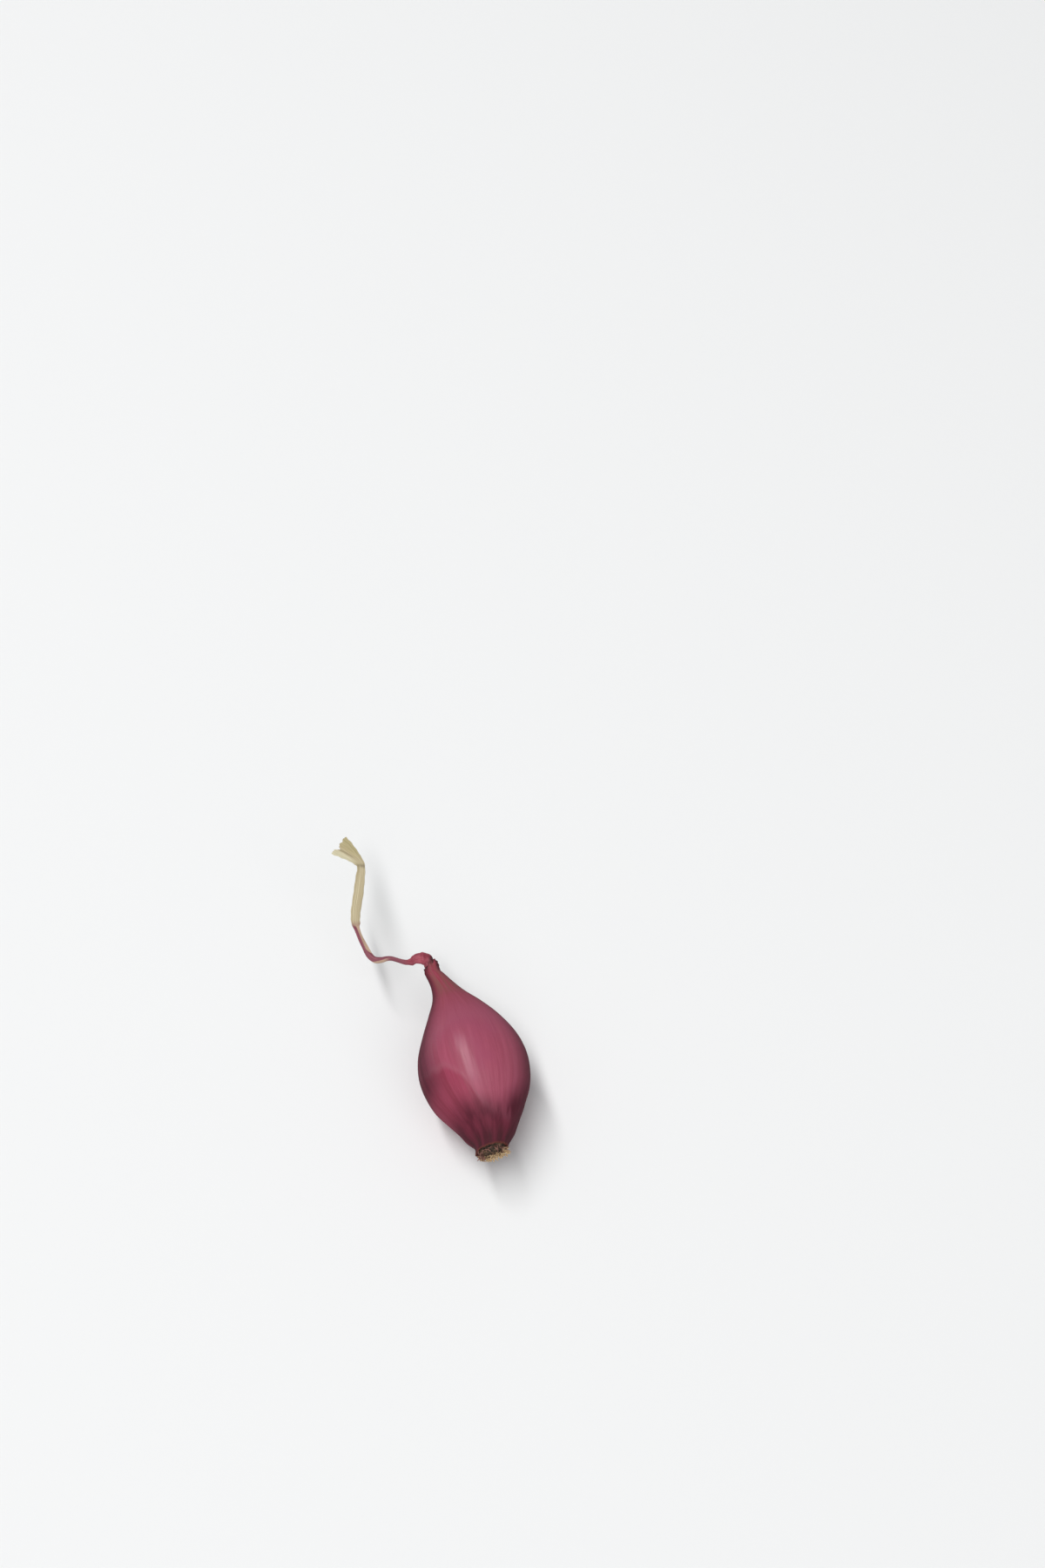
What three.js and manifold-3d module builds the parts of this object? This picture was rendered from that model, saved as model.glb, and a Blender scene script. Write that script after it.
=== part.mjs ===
// An onion set lying on its side: a small red bulb with dried roots at one end and a dried leaf at its neck.
// Millimetres. +Y runs from the root end to the neck and +Z is up. The origin is the middle of the flat spot
// on the belly that the bulb rests on. A station is a distance along the bulb's own axis, above the origin at 0.

import * as THREE from 'three';
import { mergeVertices } from 'three/addons/utils/BufferGeometryUtils.js';
import Module from 'manifold-3d';

const wasm = await Module();
wasm.setup();

// Bulb: its axis stands this high over the flat spot and leans root end down.
const AXIS_HEIGHT = 13.05;
const AXIS_TILT = THREE.MathUtils.degToRad(5);
const BULB_SIDES = 44;
const BULB_RINGS = 38;
const BULB_OUTLINE = [
  // [radius, station], from the root rim to the end of the neck
  [3.9, -21.4],
  [4.5, -20.0],
  [6.0, -18.0],
  [7.5, -15.0],
  [9.9, -11.0],
  [12.5, -6.0],
  [13.6, 0.0],
  [12.8, 6.0],
  [10.2, 12.0],
  [7.3, 17.0],
  [4.5, 21.5],
  [2.9, 25.5],
  [2.1, 29.0],
];
const ROOT_RECESS = { radius: 3.4, station: -20.8 };

// The neck steps down here, inside the dried collar.
const NECK_TIP = { radius: 1.25, from: 29.2, to: 31.8 };

// The axis bends sideways by `shift` between the two stations, ever more steeply, and runs straight beyond.
const NECK_BEND = { from: 9.0, to: 29.5, shift: -3.3, power: 2.6 };
const ROOT_BEND = { from: -12.0, to: -21.4, shift: -1.1, power: 2.0 };

// Root plate: the corky disc in the recess, which the roots grow from.
const PLATE = { radius: 3.1, rim: 0.6, crown: 1.0, sides: 24 };
const CLEARANCE = 0.3;

// Dried roots: [degrees round the plate from +X towards +Z, distance from its middle, length, thickness]
const ROOT_SIDES = 6;
const ROOT_TAPER = 0.6;
const ROOT_SPLAY = THREE.MathUtils.degToRad(40);
const ROOTS = [
  [-8, 2.8, 1.6, 0.75],
  [18, 2.9, 1.7, 0.7],
  [46, 2.4, 1.0, 0.6],
  [72, 2.9, 1.1, 0.6],
  [101, 2.9, 1.5, 0.7],
  [133, 2.7, 1.0, 0.6],
  [160, 2.9, 1.1, 0.6],
  [187, 2.8, 1.3, 0.7],
  [211, 2.9, 1.1, 0.6],
  [234, 2.7, 1.2, 0.7],
  [256, 2.9, 1.0, 0.7],
  [279, 2.7, 1.3, 0.75],
  [302, 2.9, 1.2, 0.7],
  [327, 2.7, 1.4, 0.75],
  [262, 1.5, 0.9, 0.6],
  [315, 1.4, 1.0, 0.65],
];

// Neck skin: the dark dried collar around the tip of the neck, with a ragged upper edge.
const COLLAR = { from: 29.5, to: 32.0, inner: 1.5, outer: 1.95, sides: 24, steps: 3, ragged: 0.6 };

// Dried leaf: [x, y, z, width, thickness] from the end of the neck, along the shrivelled strand, up the
// straw blade and over its crease to the torn, spread tip
const LEAF_SIDES = 8;
const LEAF_STEPS = 54;
const LEAF = [
  [-3.7, 32.9, 16.7, 3.0, 1.7],
  [-4.9, 33.8, 17.0, 2.8, 1.7],
  [-6.5, 34.3, 16.4, 2.3, 1.5],
  [-8.0, 34.5, 15.5, 1.6, 1.0],
  [-9.6, 35.6, 14.6, 1.2, 0.8],
  [-12.4, 38.2, 13.4, 1.2, 0.7],
  [-14.6, 38.7, 13.0, 1.5, 0.7],
  [-16.3, 39.4, 12.9, 1.6, 0.7],
  [-17.4, 41.4, 12.9, 1.5, 0.7],
  [-18.1, 45.2, 13.1, 1.4, 0.7],
  [-18.6, 48.8, 13.8, 1.3, 0.7],
  [-18.7, 50.4, 14.8, 2.2, 0.8],
  [-18.1, 52.6, 16.6, 2.5, 0.9],
  [-16.6, 55.6, 19.6, 2.6, 0.9],
  [-15.3, 58.6, 22.3, 2.4, 0.8],
  [-14.5, 60.8, 24.2, 2.1, 0.8],
  [-15.4, 62.6, 25.4, 3.2, 0.8],
  [-17.2, 64.7, 26.3, 5.1, 0.8],
  [-19.2, 66.7, 27.0, 6.4, 0.8],
];

const MATERIALS = {
  bulb: { color: 0x8c3c55, roughness: 0.42 },
  root_plate: { color: 0x55493f, roughness: 0.9 },
  root: { color: 0xb89a6c, roughness: 0.85 },
  neck_skin: { color: 0x5e1f2f, roughness: 0.7 },
  dry_leaf: { color: 0xbdb083, roughness: 0.8 },
};

function makeMesh(name, geometry, finish) {
  const material = new THREE.MeshStandardMaterial({ metalness: 0, ...MATERIALS[finish] });
  const mesh = new THREE.Mesh(geometry, material);
  mesh.name = name;
  return mesh;
}

// Joins the geometry's shared vertices and drops the triangles that this leaves without an area.
function weld(geometry) {
  const bare = geometry.clone();
  bare.deleteAttribute('normal');
  bare.deleteAttribute('uv');
  const welded = mergeVertices(bare, 1e-4);
  const corners = welded.index.array;
  const kept = [];
  for (let i = 0; i < corners.length; i += 3) {
    const [a, b, c] = corners.slice(i, i + 3);
    if (a !== b && b !== c && c !== a) {
      kept.push(a, b, c);
    }
  }
  welded.setIndex(kept);
  welded.computeVertexNormals();
  return welded;
}

function toSolid(geometry) {
  const welded = weld(geometry);
  return new wasm.Manifold(
    new wasm.Mesh({
      numProp: 3,
      vertProperties: new Float32Array(welded.getAttribute('position').array),
      triVerts: new Uint32Array(welded.index.array),
    }),
  );
}

function toGeometry(solid) {
  const { vertProperties, triVerts } = solid.getMesh();
  const geometry = new THREE.BufferGeometry();
  geometry.setAttribute('position', new THREE.BufferAttribute(vertProperties, 3));
  geometry.setIndex(new THREE.BufferAttribute(triVerts, 1));
  geometry.computeVertexNormals();
  return geometry;
}

// Moves every vertex of a geometry to where `place` puts it.
function reshape(geometry, place) {
  const positions = geometry.getAttribute('position');
  const point = new THREE.Vector3();
  for (let i = 0; i < positions.count; i += 1) {
    point.fromBufferAttribute(positions, i);
    place(point);
    positions.setXYZ(i, point.x, point.y, point.z);
  }
  return geometry;
}

function bend({ from, to, shift, power }, station) {
  const share = THREE.MathUtils.clamp((station - from) / (to - from), 0, 1);
  return shift * share ** power;
}

function axisShift(station) {
  return bend(NECK_BEND, station) + bend(ROOT_BEND, station);
}

// Carries a geometry modelled around a straight +Y axis to the bulb's bent and tilted axis.
function layOnAxis(geometry) {
  reshape(geometry, (point) => {
    point.x += axisShift(point.y);
  });
  geometry.rotateX(AXIS_TILT);
  geometry.translate(0, 0, AXIS_HEIGHT);
  return geometry;
}

function bulb() {
  const side = new THREE.SplineCurve(BULB_OUTLINE.map(([radius, station]) => new THREE.Vector2(radius, station)));
  const rootRim = BULB_OUTLINE[0][1];
  const profile = [
    new THREE.Vector2(0, ROOT_RECESS.station),
    new THREE.Vector2(ROOT_RECESS.radius, ROOT_RECESS.station),
    new THREE.Vector2(ROOT_RECESS.radius, rootRim),
    ...side.getPoints(BULB_RINGS),
    new THREE.Vector2(NECK_TIP.radius, NECK_TIP.from),
    new THREE.Vector2(NECK_TIP.radius, NECK_TIP.to),
    new THREE.Vector2(0, NECK_TIP.to),
  ];
  const whole = toSolid(layOnAxis(new THREE.LatheGeometry(profile, BULB_SIDES)));
  const floorSize = 100;
  const floor = toSolid(new THREE.BoxGeometry(floorSize, floorSize, floorSize).translate(0, 0, -floorSize / 2));
  return makeMesh('bulb', toGeometry(whole.subtract(floor)), 'bulb');
}

function rootPlate() {
  const inside = ROOT_RECESS.station - CLEARANCE;
  const profile = [
    new THREE.Vector2(0, inside - PLATE.crown),
    new THREE.Vector2(PLATE.radius * 0.6, inside - PLATE.crown * 0.9),
    new THREE.Vector2(PLATE.radius, inside - PLATE.rim),
    new THREE.Vector2(PLATE.radius, inside),
    new THREE.Vector2(0, inside),
  ];
  const plate = layOnAxis(new THREE.LatheGeometry(profile, PLATE.sides));
  return makeMesh('root_plate', weld(plate), 'root_plate');
}

// The dried roots stand around the plate's face, splayed the more the nearer they are to its edge.
function roots() {
  const group = new THREE.Group();
  const faceStation = ROOT_RECESS.station - CLEARANCE - PLATE.crown - CLEARANCE;
  group.position.set(axisShift(faceStation), 0, AXIS_HEIGHT);
  group.rotation.x = AXIS_TILT;
  ROOTS.forEach(([degrees, distance, length, thickness], i) => {
    const angle = THREE.MathUtils.degToRad(degrees);
    const outward = new THREE.Vector3(Math.cos(angle), 0, Math.sin(angle));
    const splay = ROOT_SPLAY * (distance / PLATE.radius);
    const direction = outward.clone().multiplyScalar(Math.sin(splay));
    direction.y = -Math.cos(splay);
    const root = new THREE.CylinderGeometry((thickness * ROOT_TAPER) / 2, thickness / 2, length, ROOT_SIDES, 1);
    root.translate(0, length / 2, 0);
    const mesh = makeMesh(`root_stub_${String(i + 1).padStart(2, '0')}`, weld(root), 'root');
    mesh.position.copy(outward).multiplyScalar(distance);
    mesh.position.y = faceStation;
    mesh.quaternion.setFromUnitVectors(new THREE.Vector3(0, 1, 0), direction);
    group.add(mesh);
  });
  return group;
}

function neckSkin() {
  const stations = Array.from({ length: COLLAR.steps + 1 }, (_, i) =>
    THREE.MathUtils.lerp(COLLAR.from, COLLAR.to, i / COLLAR.steps),
  );
  const outer = stations.map((station) => new THREE.Vector2(COLLAR.outer, station));
  const inner = stations.map((station) => new THREE.Vector2(COLLAR.inner, station)).reverse();
  const collar = new THREE.LatheGeometry([...outer, ...inner, outer[0]], COLLAR.sides);
  reshape(collar, (point) => {
    const height = (point.y - COLLAR.from) / (COLLAR.to - COLLAR.from);
    const angle = Math.atan2(point.z, point.x);
    const ragged = 0.6 * Math.cos(angle) + 0.4 * Math.sin(3 * angle + 1);
    point.y += COLLAR.ragged * ragged * height;
  });
  return makeMesh('neck_skin', weld(layOnAxis(collar)), 'neck_skin');
}

// A strip with rounded sides swept along the leaf's middle line, its face turned up.
function dryLeaf() {
  const middle = new THREE.CatmullRomCurve3(LEAF.map(([x, y, z]) => new THREE.Vector3(x, y, z)));
  const section = new THREE.CatmullRomCurve3(LEAF.map((stop) => new THREE.Vector3(stop[3], stop[4], 0)));
  const up = new THREE.Vector3(0, 0, 1);
  const strip = new THREE.CylinderGeometry(1, 1, 1, LEAF_SIDES, LEAF_STEPS);
  reshape(strip, (point) => {
    const along = THREE.MathUtils.clamp(point.y + 0.5, 0, 1);
    const size = section.getPoint(along);
    const tangent = middle.getTangent(along);
    const across = tangent.clone().cross(up).normalize();
    const face = across.clone().cross(tangent);
    const offset = across.multiplyScalar((point.x * size.x) / 2);
    offset.add(face.multiplyScalar((point.z * size.y) / 2));
    point.copy(middle.getPoint(along)).add(offset);
  });
  return makeMesh('dry_leaf', weld(strip), 'dry_leaf');
}

const onionSet = new THREE.Group();
onionSet.add(bulb(), rootPlate(), roots(), neckSkin(), dryLeaf());

export default onionSet;
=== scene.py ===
"""The looks of an onion set: a small red bulb lying on its side, its dried roots, neck and leaf.

Lengths in the measuring and modelling functions are millimetres, turned into metres when a mesh is made.
The bulb's own axis leans a little, root end down. A station is a distance along that axis, and an angle goes
round it, 0 at the right as seen from the root end and 90 degrees on top.
"""

import math

import bpy
import numpy as np
from mathutils import Matrix, Vector


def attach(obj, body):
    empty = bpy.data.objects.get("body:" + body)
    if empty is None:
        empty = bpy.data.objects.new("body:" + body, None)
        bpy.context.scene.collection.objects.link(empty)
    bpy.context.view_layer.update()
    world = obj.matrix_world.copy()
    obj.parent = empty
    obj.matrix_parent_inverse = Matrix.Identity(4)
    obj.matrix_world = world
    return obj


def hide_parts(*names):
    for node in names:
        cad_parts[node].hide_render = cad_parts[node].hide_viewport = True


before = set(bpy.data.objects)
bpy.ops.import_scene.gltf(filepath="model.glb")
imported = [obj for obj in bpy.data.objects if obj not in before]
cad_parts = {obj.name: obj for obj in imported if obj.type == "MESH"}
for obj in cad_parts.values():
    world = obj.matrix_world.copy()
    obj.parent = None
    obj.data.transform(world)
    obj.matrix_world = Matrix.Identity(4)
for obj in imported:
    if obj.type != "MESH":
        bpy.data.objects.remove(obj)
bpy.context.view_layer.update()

MM = 0.001
BODY = "root"
AXIS_TILT = math.radians(5)

# Camera: it looks down at the bulb from the root end, a little from the left.
VIEW_AZIMUTH = math.radians(-15)
VIEW_ELEVATION = math.radians(50)
VIEW_DISTANCE = 0.6077
VIEW_AIM = (0.0379, 0.0963, 0.0)
LENS_MM = 50

# Bulb: the CAD solid's own driving dimensions, in mm
AXIS_HEIGHT = 13.05
BULB_OUTLINE = [
    # (radius, station), from the root rim to the end of the neck
    (3.9, -21.4), (4.5, -20.0), (6.0, -18.0), (7.5, -15.0), (9.9, -11.0), (12.5, -6.0), (13.6, 0.0),
    (12.8, 6.0), (10.2, 12.0), (7.3, 17.0), (4.5, 21.5), (2.9, 25.5), (2.1, 29.0),
]
ROOT_RIM = -21.4
NECK_BEND = {"start": 9.0, "end": 29.5, "shift": -3.3, "power": 2.6}
ROOT_BEND = {"start": -12.0, "end": -21.4, "shift": -1.1, "power": 2.0}

# (radius, station) of the skin's inner lip, rolled into the root recess, and of the core inside the collar
LIP = [(2.9, -20.2), (3.35, -20.8), (3.6, -21.2), (3.78, -21.38)]
CORE = [(1.7, 29.5), (1.4, 30.2), (1.2, 31.2)]
CURVE_STEPS = 400
BULB_RINGS = 310
BULB_SIDES = 288

# Relief of the skin, in mm
PLEAT_DEPTH = 0.08
WRINKLE_DEPTH = 0.05
VEIN_HEIGHT = 0.011
SWELL_HEIGHT = 0.05
SKIN_STEP = 0.03
LIP_FLARE = 0.25
WAIST_DEPTH = 0.60
RIM_TEETH = 0.16

# Where the papery outer skin ends towards the root: (angle in degrees, station in mm), round the bulb
SKIN_EDGE = [
    (-180, 1.2), (-140, -3.0), (-100, -8.0), (-60, -13.0), (-20, -16.0), (30, -17.2), (69, -16.0),
    (88, -14.8), (98, -13.0), (104, -10.4), (109, -7.5), (115, -4.6), (123, -2.9), (132, -1.9),
    (150, -1.5), (162, -0.8), (180, 1.2),
]

# Root plate, and the fibres that each dried root is frayed into: more on the lower side than on the upper
PLATE_FACE = -22.1
PLATE_RADIUS = 3.1
PLATE_RINGS = 44
PLATE_SIDES = 96
FIBRE_FOOT = -21.6
LOWER_FIBRES = 13
UPPER_FIBRES = 4
FIBRE_RINGS = 26
FIBRE_SIDES = 12
ROOT_SPLAY = math.radians(40)

# Dried roots: (degrees round the plate, distance from its middle, length, thickness), in mm
ROOTS = [
    (-8, 2.8, 1.6, 0.75), (18, 2.9, 1.7, 0.7), (46, 2.4, 1.0, 0.6), (72, 2.9, 1.1, 0.6),
    (101, 2.9, 1.5, 0.7), (133, 2.7, 1.0, 0.6), (160, 2.9, 1.1, 0.6), (187, 2.8, 1.3, 0.7),
    (211, 2.9, 1.1, 0.6), (234, 2.7, 1.2, 0.7), (256, 2.9, 1.0, 0.7), (279, 2.7, 1.3, 0.75),
    (302, 2.9, 1.2, 0.7), (327, 2.7, 1.4, 0.75), (262, 1.5, 0.9, 0.6), (315, 1.4, 1.0, 0.65),
]

# Dried leaf: (x, y, z, width, thickness) in mm, one stop a line, from the neck along the strand and the blade
# to the torn tip. The route is the CAD strip's own.
LEAF = [
    (-3.7, 32.9, 16.7, 3.0, 1.7),
    (-4.9, 33.8, 17.0, 2.8, 1.7),
    (-6.5, 34.3, 16.4, 2.3, 1.5),
    (-8.0, 34.5, 15.5, 1.6, 1.0),
    (-9.6, 35.6, 14.6, 1.2, 0.8),
    (-12.4, 38.2, 13.4, 1.2, 0.7),
    (-14.6, 38.7, 13.0, 1.5, 0.7),
    (-16.3, 39.4, 12.9, 1.6, 0.7),
    (-17.4, 41.4, 12.9, 1.5, 0.7),
    (-18.1, 45.2, 13.1, 1.4, 0.7),
    (-18.6, 48.8, 13.8, 1.3, 0.7),
    (-18.7, 50.4, 14.8, 2.2, 0.8),
    (-18.1, 52.6, 16.6, 2.5, 0.9),
    (-16.6, 55.6, 19.6, 2.6, 0.9),
    (-15.3, 58.6, 22.3, 2.4, 0.8),
    (-14.5, 60.8, 24.2, 2.1, 0.8),
    (-15.4, 62.6, 25.4, 3.2, 0.8),
    (-17.2, 64.7, 26.3, 5.1, 0.8),
    (-19.2, 66.7, 27.0, 6.4, 0.8),
]
# The leaf goes on inside the collar at the neck: the same numbers, for the two stops before the first.
LEAF_FOOT = [(-3.2, 30.3, 15.6, 2.2, 2.2), (-3.3, 31.7, 16.3, 2.9, 2.3)]
LEAF_STEPS = 1200
LEAF_RINGS = 480
LEAF_SIDES = 64

# Where the leaf's parts begin or end, counted in the stops of LEAF
LEAF_LAST = len(LEAF) - 1
HOOD_END = (2.8, 4.2)
BLADE_START = (10.4, 11.4)
BLADE_CREASE = 15.05
FAN_START = (15.2, 16.6)
TEAR_START = 16.3

# Collar: it carries on the neck's outline, (radius, station), and its mouth is folded back inside
COLLAR_OUTLINE = [(1.98, 30.0), (1.95, 31.0), (1.95, 33.0)]
COLLAR_FOOT = 24.5
COLLAR_TOP = 33.0
COLLAR_RINGS = 70
COLLAR_INNER_RINGS = 26
COLLAR_SIDES = 144
COLLAR_SKIN = 0.25


# ---------------------------------------------------------------------------------------------- small helpers

def smoothstep(low, high, value):
    """0 up to low, 1 from high on, and a smooth climb between. With high below low it falls instead."""
    share = np.clip((value - low) / (high - low), 0, 1)
    return share * share * (3 - 2 * share)


def bump_at(centre, width, value):
    """A smooth bump, 1 at the centre and 0.37 at that width to either side of it."""
    return np.exp(-(((value - centre) / width) ** 2))


def catmull_rom(stops, count):
    """Even steps in the parameter along a Catmull-Rom curve through the stops."""
    stops = np.asarray(stops, float)
    padded = np.concatenate([[2 * stops[0] - stops[1]], stops, [2 * stops[-1] - stops[-2]]])
    position = np.linspace(0, len(stops) - 1, count)
    index = np.minimum(position.astype(int), len(stops) - 2)
    t = (position - index)[:, None]
    a, b, c, d = (padded[index + k] for k in range(4))
    square = 2 * a - 5 * b + 4 * c - d
    cube = 3 * b - a - 3 * c + d
    return 0.5 * (2 * b + (c - a) * t + square * t ** 2 + cube * t ** 3)


def streaks(angle, along, lowest, highest, drift, seed, waves=9):
    """Lengthwise ripples round a stem, from -1 to 1 or so: whole waves round it that wander along it."""
    rng = np.random.default_rng(seed)
    total = np.zeros(np.broadcast(angle, along).shape)
    for _ in range(waves):
        number = rng.integers(lowest, highest + 1)
        phase, sway, pace = rng.uniform(0, 2 * np.pi, 3)
        wander = drift * np.sin(along * (0.06 + 0.05 * pace) + sway)
        total = total + np.cos(number * angle + phase + wander * 2)
    return total / math.sqrt(waves)


def lumps(points, size, seed, waves=12):
    """Smooth noise in space, from -1 to 1 or so, with lumps about that many mm across."""
    rng = np.random.default_rng(seed)
    total = np.zeros(points.shape[:-1])
    for _ in range(waves):
        direction = rng.normal(size=3)
        direction *= 2 * np.pi / size / np.linalg.norm(direction) * rng.uniform(0.6, 1.4)
        total = total + np.cos(points @ direction + rng.uniform(0, 2 * np.pi))
    return total / math.sqrt(waves / 2)


def with_ends(values):
    """values[ring, side], flattened, with the mean of the first and of the last ring added."""
    flat = values.reshape(-1, *values.shape[2:])
    return np.concatenate([flat, [values[0].mean(0)], [values[-1].mean(0)]])


def tube_faces(rings, sides, start, flat_end):
    """Faces of a closed tube whose corners count from `start`: its wall, a fan at its foot and its end.

    A flat end is sewn straight across from one face of the strip to the other, else it is a fan too.
    """
    ring = np.arange(rings - 1)[:, None]
    side = np.arange(sides)[None, :]
    beside = (side + 1) % sides
    near = ring * sides
    far = near + sides
    corners = [near + side, near + beside, far + beside, far + side]
    wall = (np.stack(np.broadcast_arrays(*corners), -1).reshape(-1, 4) + start).tolist()
    foot = start + rings * sides
    base = start + (rings - 1) * sides
    fan = [(foot, start + (i + 1) % sides, start + i) for i in range(sides)]
    if flat_end:
        half = sides // 2
        end = [
            (base + i, base + i + 1, base + (sides - i - 1) % sides, base + (sides - i) % sides)
            for i in range(1, half - 1)
        ]
        end += [(base, base + 1, base + sides - 1), (base + half - 1, base + half, base + half + 1)]
    else:
        end = [(foot + 1, base + i, base + (i + 1) % sides) for i in range(sides)]
    return wall + fan + end


def tube_mesh(name, tubes, flat_end=False):
    """A smooth-shaded mesh of closed tubes, each (points[ring, side, 3] in mm, attributes).

    Attributes: name -> values[ring, side] (numbers) or values[ring, side, 3] (vectors).
    """
    corners = []
    faces = []
    for points, _ in tubes:
        faces += tube_faces(*points.shape[:2], sum(len(c) for c in corners), flat_end)
        corners.append(with_ends(points) * MM)
    mesh = bpy.data.meshes.new(name)
    mesh.from_pydata(np.concatenate(corners).tolist(), [], faces)
    for key in tubes[0][1]:
        values = np.concatenate([with_ends(attributes[key]) for _, attributes in tubes])
        is_vector = values.ndim == 2
        layer = mesh.attributes.new(key, "FLOAT_VECTOR" if is_vector else "FLOAT", "POINT")
        layer.data.foreach_set("vector" if is_vector else "value", values.astype(np.float32).ravel())
    mesh.polygons.foreach_set("use_smooth", [True] * len(mesh.polygons))
    mesh.validate()
    return mesh


def spread(attributes, shape):
    """Attributes stretched to the same [ring, side] shape."""
    return {
        key: np.broadcast_to(values, (*shape, 3) if np.ndim(values) == 3 else shape)
        for key, values in attributes.items()
    }


def add_piece(name, mesh, finish, slot, *nodes):
    """Puts a mesh in the scene as a piece that stands for CAD nodes and rides with them."""
    piece = bpy.data.objects.new(name, mesh)
    bpy.context.scene.collection.objects.link(piece)
    mesh.materials.append(finish)
    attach(piece, BODY)
    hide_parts(*nodes)
    return piece


# ---------------------------------------------------------------------------------------------- the axis

def bend(station, start, end, shift, power):
    """How far a bend has carried the axis sideways at a station, in mm."""
    share = np.clip((station - start) / (end - start), 0, 1)
    return shift * share ** power


def axis_shift(station):
    return bend(station, **NECK_BEND) + bend(station, **ROOT_BEND)


def lay_on_axis(x, station, z):
    """Points given round a straight level axis, carried to the bulb's bent and leaning one."""
    x, y, z = np.broadcast_arrays(x + axis_shift(station), station, z)
    lean_cos = math.cos(AXIS_TILT)
    lean_sin = math.sin(AXIS_TILT)
    return np.stack([x, y * lean_cos - z * lean_sin, AXIS_HEIGHT + y * lean_sin + z * lean_cos], -1)


def place(station, angle, radius):
    """Points that far out from the bulb's axis, round it at those stations and angles."""
    return lay_on_axis(radius * np.cos(angle), station, radius * np.sin(angle))


def round_angles(sides):
    """Angles round a tube whose rings follow +Y, in the order that turns its faces outwards."""
    return -np.linspace(0, 2 * np.pi, sides, endpoint=False)[None, :]


def collar_radius(station):
    """The bulb's radius along the neck, which the collar carries on past its end."""
    radii, stations = catmull_rom(BULB_OUTLINE + COLLAR_OUTLINE, CURVE_STEPS).T
    return np.interp(station, stations, radii)


# ------------------------------------------------------------------------------------------------- the bulb

def skin_edge(angle):
    """The station at which the outer skin ends, at an angle in radians, with a finely torn line."""
    degrees = np.degrees(np.arctan2(np.sin(angle), np.cos(angle)))
    turns, stations = np.array(SKIN_EDGE).T
    smooth = np.interp(degrees, turns, stations)
    tears = 0.22 * streaks(angle, 0.0, 5, 22, 0, seed=4)
    frays = 0.05 * streaks(angle, 0.0, 30, 80, 0, seed=5)
    return smooth + tears + frays


def bulb_outline():
    """Even steps (stations, radii) from inside the root recess, up the side and into the collar."""
    side = catmull_rom(BULB_OUTLINE, CURVE_STEPS)
    outline = np.concatenate([LIP, side, CORE])
    length = np.concatenate([[0], np.cumsum(np.linalg.norm(np.diff(outline, axis=0), axis=1))])
    even = np.linspace(0, length[-1], BULB_RINGS)
    return np.interp(even, length, outline[:, 1]), np.interp(even, length, outline[:, 0])


def off_top(angle):
    """Degrees round from the top of the bulb, up to 180 at the bottom."""
    return np.abs((np.degrees(angle) + 92) % 360 - 180)


def underside(angle):
    """1 below the bulb, 0 at its sides and on top."""
    return smoothstep(100, 145, off_top(angle))


def flank_shade(angle):
    """Painted shade on the bulb's two sides: 0 over most of the top, 1 at the sides, about half below."""
    return smoothstep(30, 76, off_top(angle)) * (1 - 0.5 * underside(angle))


def flank_shade_eased(angle, station):
    """Where the painted shade on the flanks is eased off: the lower left flank towards the root."""
    return smoothstep(-3, -9, station) * smoothstep(0.55, 0.9, np.cos(angle - math.radians(175)))


def root_tone_and_shade(angle, station):
    """How far into the darker maroon at the root end a spot is, partly the skin's own tone and partly painted
    shade; the painted shade reaches further up on the right.
    """
    right = 7.0 * np.maximum(np.cos(angle) - 0.4, 0)
    below_edge = 2.0 * np.maximum(np.cos(angle - math.radians(122)), 0) ** 8
    return smoothstep(-10, -16.5, station - right - below_edge)


def gloss(angle, station):
    """Where the skin is drawn tight and shines: a lengthwise band over the belly, and less of it below."""
    band = bump_at(100, 52, np.degrees(angle) % 360)
    return np.maximum(band, 0.7 * underside(angle)) * bump_at(0, 14.5, station)


def neck_wrinkles(angle, station):
    """Lengthwise wrinkles, in mm, that deepen towards the end of the neck."""
    return WRINKLE_DEPTH * smoothstep(14, 28, station) * streaks(angle, station, 5, 12, 0.9, seed=12, waves=7)


def neck_zone(station):
    """How far into the browner zone at the neck a station is."""
    return smoothstep(8, 27, station)


def skin_place(angle, station):
    """Where a spot is on the skin, for its noise: round it in two numbers, and along it in centimetres."""
    return np.stack(np.broadcast_arrays(np.cos(angle), np.sin(angle), station / 10), -1)


def root_zone(station):
    """1 at the rim of the root recess, fading up the bulb."""
    return np.exp(-(station - ROOT_RIM) / 3.0)


def skin_relief(angle, station, pleats):
    """How far the skin stands off the bulb's outline, in mm: folds, veins, swells, torn edge and root lip."""
    veins = streaks(angle, station, 24, 60, 1.2, seed=13) * smoothstep(0.0, 0.8, station - ROOT_RIM)
    swell = streaks(angle, station, 2, 5, 0.6, seed=14, waves=5)
    above_edge = smoothstep(-0.35, 0.35, station - skin_edge(angle))
    left = 0.5 + 0.5 * np.cos(angle - math.radians(190))
    return (
        PLEAT_DEPTH * pleats * root_zone(station)
        + neck_wrinkles(angle, station)
        + VEIN_HEIGHT * veins
        + SWELL_HEIGHT * swell * smoothstep(-22, -8, station) * (1 - neck_zone(station))
        + SKIN_STEP * (above_edge - 1)
        + LIP_FLARE * left * bump_at(ROOT_RIM, 0.6, station)
        - WAIST_DEPTH * left * bump_at(ROOT_RIM + 2.5, 1.5, station)
    )


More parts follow.
